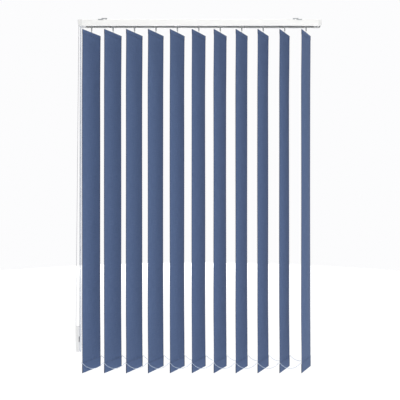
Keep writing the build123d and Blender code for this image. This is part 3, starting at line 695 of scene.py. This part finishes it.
def eyed_tab(width, foot, top, hole_level, hole_radius, thickness, corner):
    """A flat tab with a round hole: rings go from the hole's edge over the front to the outline and back.

    Each point of the outline faces the point of the hole at the same angle from the hole's middle.
    """
    outline = rounded_outline(width, top - foot, corner) + np.array([0, (top + foot) / 2])
    angle = np.arctan2(outline[:, 1] - hole_level, outline[:, 0])
    outward = np.stack([np.cos(angle), np.sin(angle)], axis=-1)
    hole = np.array([0, hole_level]) + hole_radius * outward
    half, edge = thickness / 2, 0.25 * MM
    drawn_in = outline - edge * outward
    rings = [(hole, -half), (drawn_in, -half), (outline, edge - half)]
    rings += [(outline, half - edge), (drawn_in, half), (hole, half), (hole, -half)]
    points = np.array([np.insert(ring, 1, y, axis=1) for ring, y in rings])
    rows, columns = points.shape[:2]
    faces = grid_faces(rows, columns, True)[0] % ((rows - 1) * columns)
    return points[:-1].reshape(-1, 3), faces.tolist()


def vane_hanger(number, axis, high, material):
    """The stiff plate inside the top pocket, with its tab up through the cloth on the stem's nub."""
    width, height, thickness = HANGER
    under_fold, overlap, nub_clearance = 0.4 * MM, 2 * MM, 0.3 * MM
    plate = slab(width, height, thickness, corner=3 * MM, bevel=0.3 * MM)
    plate_top = high - CLOTH - under_fold
    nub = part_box(f"stem_{number:02d}")[0][2] + NUB_ABOVE_FOOT
    tab = eyed_tab(
        width=TAB_WIDTH,
        foot=plate_top - overlap,
        top=nub + TAB_ABOVE_NUB,
        hole_level=nub,
        hole_radius=NUB_RADIUS + nub_clearance,
        thickness=thickness * 0.98,  # so that its faces lie just inside the plate's
        corner=2 * MM,
    )
    points, faces = joined([moved(plate, (0, 0, plate_top - height / 2)), tab])
    return new_piece(f"vane_hanger_{number:02d}", on_stem(points, axis), faces, material)


def vane_weight(number, axis, low, material):
    """The weight plate in the foot pocket, with an arm and a chain eye beyond each edge of the cloth."""
    width, height, thickness = WEIGHT
    above_fold, overlap = 0.3 * MM, 2 * MM
    plate_foot = low + CLOTH + above_fold
    plate = slab(width, height, thickness, corner=4 * MM, bevel=0.4 * MM)
    arm_length = VANE_WIDTH / 2 - width / 2 + EYE_REACH + overlap
    arm = slab(arm_length, ARM_HEIGHT, thickness, corner=1.2 * MM, bevel=0.35 * MM)
    ring = ring_about_x(EYE_RADIUS, EYE_BORE, EYE_WIDTH)
    shapes = [moved(plate, (0, 0, plate_foot + height / 2))]
    for side in (-1, 1):
        eye = side * (VANE_WIDTH / 2 + EYE_REACH)
        arm_middle = eye - side * (arm_length / 2 + EYE_BORE)
        shapes.append(moved(arm, (arm_middle, 0, plate_foot + height - ARM_HEIGHT / 2)))
        shapes.append(moved(ring, (eye, 0, low + EYE_HEIGHT), -VANE_ANGLE))
    points, faces = joined(shapes)
    return new_piece(f"vane_weight_{number:02d}", on_stem(points, axis), faces, material)


def make_vanes(finish):
    """Every vane's cloth, seams, hanger and weight, on its own body."""
    for number in range(1, VANE_COUNT + 1):
        label = f"{number:02d}"
        stem_low, stem_high = (np.array(corner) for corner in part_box("stem_" + label))
        axis = (stem_low + stem_high)[:2] / 2
        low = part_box("vane_" + label)[0][2]
        high = low + VANE_LENGTH
        cloth, length = vane_cloth(number, axis, low, high, finish["cloth"])
        seams = vane_stitching(number, axis, low, high, finish["thread"])
        hanger = vane_hanger(number, axis, high, finish["acetal"])
        weight = vane_weight(number, axis, low, finish["plate"])
        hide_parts("vane_" + label)
        for piece in (cloth, seams, hanger, weight):
            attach(piece, "vane_" + label)


# ---- Chains and cords ---------------------------------------------------------------------------


def route_line(name, points):
    """The smooth line of a route: points read from a spline that has the route as its control points."""
    curve = bpy.data.curves.new(name, "CURVE")
    curve.dimensions = "3D"
    spline = curve.splines.new("NURBS")
    spline.points.add(len(points) - 1)
    spline.points.foreach_set("co", np.column_stack([points, np.ones(len(points))]).ravel())
    spline.order_u = 3
    spline.use_endpoint_u = True
    spline.resolution_u = 16
    holder = bpy.data.objects.new(name, curve)
    mesh = bpy.data.meshes.new_from_object(holder)
    line = np.empty(len(mesh.vertices) * 3)
    mesh.vertices.foreach_get("co", line)
    bpy.data.objects.remove(holder)
    bpy.data.curves.remove(curve)
    bpy.data.meshes.remove(mesh)
    return line.reshape(-1, 3)


def along_line(line, distances):
    """Points and directions at given distances along a line."""
    run = distances_along(line)

    def points_at(wanted):
        """Where the line is at these distances."""
        return np.stack([np.interp(wanted, run, line[:, k]) for k in range(3)], axis=-1)

    step = 0.5 * MM
    heading = points_at(distances + step) - points_at(distances - step)
    return points_at(distances), heading / np.linalg.norm(heading, axis=1, keepdims=True)


def tube_round(places, heading, radii, across, sides):
    """Rings about a line: each point is r (cos a · side + sin a · up), with side = across × heading."""
    side = np.cross(across, heading)
    side /= np.linalg.norm(side, axis=1, keepdims=True)
    up = np.cross(heading, side)
    angle = np.linspace(0, 2 * pi, sides, endpoint=False)
    ring = side[:, None] * np.cos(angle)[:, None] + up[:, None] * np.sin(angle)[:, None]
    return places[:, None] + radii[:, None, None] * ring


def ball_chain(name, line, across, material):
    """Beads on a thin core: the radius is sqrt(R² - x²) about each bead's middle, never under the core's."""
    length = float(distances_along(line)[-1])
    count = int(length / BEAD_PITCH)
    pitch = length / count
    radius = CHAIN_BEAD / 2
    core = 0.3 * radius
    within = np.array([-1.0, -0.8, -0.45, 0.0, 0.45, 0.8]) * radius
    distances = ((np.arange(count) + 0.5) * pitch)[:, None] + within
    radii = np.sqrt(np.clip(radius**2 - within**2, core**2, None)) + 0 * distances
    places, heading = along_line(line, distances.ravel())
    points = tube_round(places, heading, radii.ravel(), across, sides=8)
    rows, sides = points.shape[:2]
    faces = grid_faces(rows, sides, True)[0].tolist() + end_faces(rows, sides)
    return new_piece(name, points, faces, material), length


def braided_cord(name, line, across, material):
    """A round cord whose map runs once round it and along it in metres."""
    distances = distances_along(line)
    places, heading = along_line(line, distances)
    points = tube_round(places, heading, np.full(len(line), CORD / 2), across, sides=12)
    rows, sides = points.shape[:2]
    faces, row, column = grid_faces(rows, sides, True)
    uv = grid_map(distances, np.linspace(0, 1, sides + 1), row, column)
    uv = np.concatenate([uv, np.zeros((2 * sides, 2))])
    faces = faces.tolist() + end_faces(rows, sides)
    return new_piece(name, points, faces, material, uv), float(distances[-1])


def box_middle(name):
    """The middle of a construction node's box."""
    low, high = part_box(name)
    return (np.array(low) + np.array(high)) / 2


def declare_cord(piece, node_name, *, body):
    """A chain or a cord stands for its construction node and rides on a body."""
    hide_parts(node_name)
    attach(piece, body)


# One span of spacer chain from eye to eye: distance along X and drop, in metres.
SPAN = [(0.005, 0), (0.012, 0.010), (0.029, 0.0215), (0.046, 0.0275)]
SPAN += [(0.066, 0.0275), (0.083, 0.0215), (0.100, 0.010), (0.107, 0)]


def make_spacer_chains(finish):
    """The two chains along the vanes' feet, each on its own body. In the real blind they draw up along the
    rail with the carriers.
    """
    stem, next_stem = box_middle("stem_01"), box_middle("stem_02")
    pitch = next_stem[0] - stem[0]
    spans = VANE_COUNT - 1
    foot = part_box("vane_01")[0][2]
    for name, side in (("spacer_chain_front", -1), ("spacer_chain_back", 1)):
        reach = side * (VANE_WIDTH / 2 + EYE_REACH)
        eye = np.array([reach * cos(VANE_ANGLE), reach * sin(VANE_ANGLE), 0]) + stem
        eye[2] = foot + EYE_HEIGHT
        route = [eye - (CHAIN_END, 0, 0)]
        for span in range(spans):
            route += [eye + (span * pitch + along, 0, -drop) for along, drop in SPAN]
        route.append(eye + (spans * pitch + CHAIN_END, 0, 0))
        line = route_line(name, np.array(route))
        chain, length = ball_chain(name + "_beads", line, (0, 1, 0), finish["chain"])
        declare_cord(
            chain,
            name,
            body=name,
        )
        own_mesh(chain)


# Half of the operating chain's loop: distance from its middle and height above its foot, in metres.
LOOP_FOOT = [(0.0076, 0.088), (0.0086, 0.058), (0.0106, 0.034), (0.0106, 0.014), (0.0065, 0.0025), (0, 0)]


def make_operating_chain(finish):
    """The endless ball chain over the wheel, down both sides and round its free foot.

    Its line is one half, from the top down to the foot's middle, and the same half mirrored.
    """
    low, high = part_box("operating_chain")
    middle_x, middle_y = (low[0] + high[0]) / 2, box_middle("chain_wheel")[1]
    top = high[2] - CHAIN_BEAD / 2
    foot = low[2] + CHAIN_BEAD / 2
    half_gap, below_wheel = 0.2 * MM, 20 * MM
    half = [(half_gap, top), (WHEEL_RADIUS, top), (WHEEL_RADIUS, top - below_wheel)]
    half += [(across, foot + height) for across, height in LOOP_FOOT]
    other = [(-across, z) for across, z in reversed(half[:-1])]
    route = np.array([(middle_x, middle_y - across, z) for across, z in half + other])
    line = route_line("operating_chain_route", route)
    chain, length = ball_chain("operating_chain_beads", line, (1, 0, 0), finish["chain"])
    declare_cord(
        chain,
        "operating_chain",
        body="headrail",
    )


def toward(start, end, distance):
    """The point at a distance from one point towards another."""
    start, end = np.array(start, dtype=float), np.array(end, dtype=float)
    return start + (end - start) * distance / np.linalg.norm(end - start)


def make_rail_cord(finish, start, front, back, level, turn):
    """The cord's two stretches inside the rail, which meet round the return pulley."""
    straight_end = turn - (back - front) / 2 - CORD_LEAD
    route = [(start, front, level), (straight_end, front, level), (turn, front, level)]
    route += [(turn, back, level), (straight_end, back, level), (start, back, level)]
    line = route_line("inside_route", np.array(route))
    cord, length = braided_cord("traverse_cord_rail", line, (0, 0, 1), finish["cord"])
    declare_cord(
        cord,
        "traverse_cord_inside",
        body="headrail",
    )


def make_hanging_cord(finish, start, front, back, level):
    """The weighted loop: over the front pulley, down round the weight's pulley and up over the back one."""
    pulley = box_middle("cord_weight_pulley")
    drop_x = box_middle("control_pulley_front")[0] - CONTROL_PULLEY_RADIUS
    foot = pulley[2] - WEIGHT_PULLEY_RADIUS
    from_pulley, from_weight = 20 * MM, WEIGHT_PULLEY_RADIUS + CORD_LEAD
    corner_front, corner_back = (drop_x, front, level), (drop_x, back, level)
    left = (pulley[0] - WEIGHT_PULLEY_RADIUS, pulley[1], foot)
    right = (pulley[0] + WEIGHT_PULLEY_RADIUS, pulley[1], foot)
    route = [
        (start, front, level),
        corner_front,
        toward(corner_front, left, from_pulley),
        toward(left, corner_front, from_weight),
        left,
        right,
        toward(right, corner_back, from_weight),
        toward(corner_back, right, from_pulley),
        corner_back,
        (start, back, level),
    ]
    line = route_line("hanging_route", np.array(route))
    cord, length = braided_cord("traverse_cord_hanging", line, (0, 1, 0), finish["cord"])
    declare_cord(
        cord,
        "traverse_cord_loop",
        body="headrail",
    )


def make_traverse_cord(finish, catch):
    """The cord that draws the vanes, in two lengths that meet end to end on the control pulleys."""
    low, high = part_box("traverse_cord_inside")
    level = (low[2] + high[2]) / 2
    front, back = low[1] + CORD / 2, high[1] - CORD / 2
    make_rail_cord(finish, low[0], front, back, level, turn=high[0] - CORD / 2)
    make_hanging_cord(finish, low[0], front, back, level)


def make_weight_catch(finish):
    """The catch that closes the cord weight, in its recess at the weight's right edge."""
    low, high = (np.array(corner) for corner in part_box("cord_weight"))
    width, height, depth = CATCH
    from_edge, from_face, from_top = 2.6 * MM, 0.1 * MM, 67 * MM
    catch = slab(width, height, depth, corner=1.2 * MM, bevel=0.6 * MM)
    place = (high[0] - from_edge, low[1] + depth / 2 + from_face, high[2] - from_top)
    points, faces = moved(catch, place)
    piece = new_piece("weight_catch", points, faces, finish["rubber"])
    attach(piece, "headrail")
    return piece


# ---- Finishes of the construction nodes ---------------------------------------------------------


def make_finishes():
    """Every material of the blind, by what it is used for."""
    return {
        "cloth": woven_polyester(),
        "thread": polyester_thread(),
        "rail": powder_coat(),
        "zinc": zinc_plated_steel(),
        "abs": moulded_abs(),
        "acetal": natural_acetal(),
        "painted_shade_acetal": painted_shade_acetal(),
        "stem": grey_polycarbonate(),
        "rod": drawn_aluminium(),
        "chain": chain_plastic(),
        "cord": braided_polyester(),
        "rubber": grey_rubber(),
        "plate": coated_steel_plate(),
    }


def finish_nodes(finish):
    """Gives each construction node its material, by the start of its name."""
    by_start = {
        "headrail": "rail",
        "wall_brackets": "zinc",
        "control_end_housing": "abs",
        "idle_end_housing": "abs",
        "cord_weight": "abs",
        # the carriers' dark grey is painted shade
        "carrier": "painted_shade_acetal",
        "worm": "acetal",
        "chain_wheel": "acetal",
        "control_pulley": "acetal",
        "return_pulley": "acetal",
        "cord_weight_pulley": "acetal",
        "stem": "stem",
        "tilt_rod": "rod",
    }
    for name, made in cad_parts.items():
        starts = [start for start in by_start if name.startswith(start)]
        if starts:
            chosen = by_start[max(starts, key=len)]
            made.data.materials.clear()
            made.data.materials.append(finish[chosen])


# ---- Studio -------------------------------------------------------------------------------------


def make_floor(level):
    """A wide pale disc below the blind."""
    material = new_material("studio_floor", {"Base Color": linear("#f7f7f7"), "Roughness": 0.9})[0]
    sides = 96
    turn = np.linspace(0, 2 * pi, sides, endpoint=False)
    rim = [FLOOR_RADIUS * np.cos(turn), FLOOR_RADIUS * np.sin(turn), np.full(sides, level)]
    new_piece("floor", np.stack(rim, axis=-1), [list(range(sides))], material)


def area_light(name, place, target, size, power):
    """A tall soft light that looks at a point."""
    light = bpy.data.lights.new(name, "AREA")
    light.shape = "RECTANGLE"
    light.size, light.size_y = size
    light.energy = power
    made = bpy.data.objects.new(name, light)
    bpy.context.scene.collection.objects.link(made)
    made.location = place
    made.rotation_euler = Vector(np.array(place) - target).to_track_quat("Z", "Y").to_euler()
    made.visible_camera = False


def sunlight(name, power, spread):
    """An even light that falls straight down."""
    light = bpy.data.lights.new(name, "SUN")
    light.energy = power
    light.angle = spread
    bpy.context.scene.collection.objects.link(bpy.data.objects.new(name, light))


def make_studio():
    """White surroundings, wide soft lights before and behind the vanes, and an even one from above.

    The surroundings show white to the camera, and light the blind at under a third of that, as a studio's
    far walls do.
    """
    scene = bpy.context.scene
    world = bpy.data.worlds.new("studio")
    scene.world = world
    world.use_nodes = True
    tree = world.node_tree
    background = tree.nodes["Background"]
    background.inputs["Color"].default_value = linear("#fcfcfd")
    seen = node(tree, "ShaderNodeLightPath").outputs["Is Camera Ray"]
    strength = node(tree, "ShaderNodeMapRange", inputs={"Value": seen, "To Min": 0.28, "To Max": 1.0})
    tree.links.new(strength.outputs["Result"], background.inputs["Strength"])
    low, high = (np.array(corner) for corner in CAD_BOX)
    middle = (low + high) / 2
    make_floor(low[2] - FLOOR_DROP)
    for name, (place, power) in SOFT_LIGHTS.items():
        area_light(name, middle + place, middle, SOFT_LIGHT_SIZE, power)
    sunlight("overhead", power=2.3, spread=radians(12))
    scene.view_settings.view_transform = "Standard"


def make_camera():
    """Level, in line with the rail's middle, a little above half way down the vanes."""
    camera = bpy.data.cameras.new("camera")
    camera.lens = FOCAL_LENGTH
    camera.sensor_width = SENSOR_WIDTH
    camera.clip_end = VIEW_DEPTH
    made = bpy.data.objects.new("camera", camera)
    bpy.context.scene.collection.objects.link(made)
    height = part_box("vane_06")[0][2] + VANE_LENGTH / 2 + CAMERA_ABOVE_MIDDLE
    made.location = (0.0, box_middle("stem_06")[1] - CAMERA_DISTANCE, height)
    made.rotation_euler = (pi / 2, 0, 0)
    bpy.context.scene.camera = made


def main():
    """Makes the pieces and the studio."""
    finish = make_finishes()
    make_camera()
    make_vanes(finish)
    make_spacer_chains(finish)
    make_operating_chain(finish)
    make_traverse_cord(finish, make_weight_catch(finish))
    finish_nodes(finish)
    make_studio()


main()
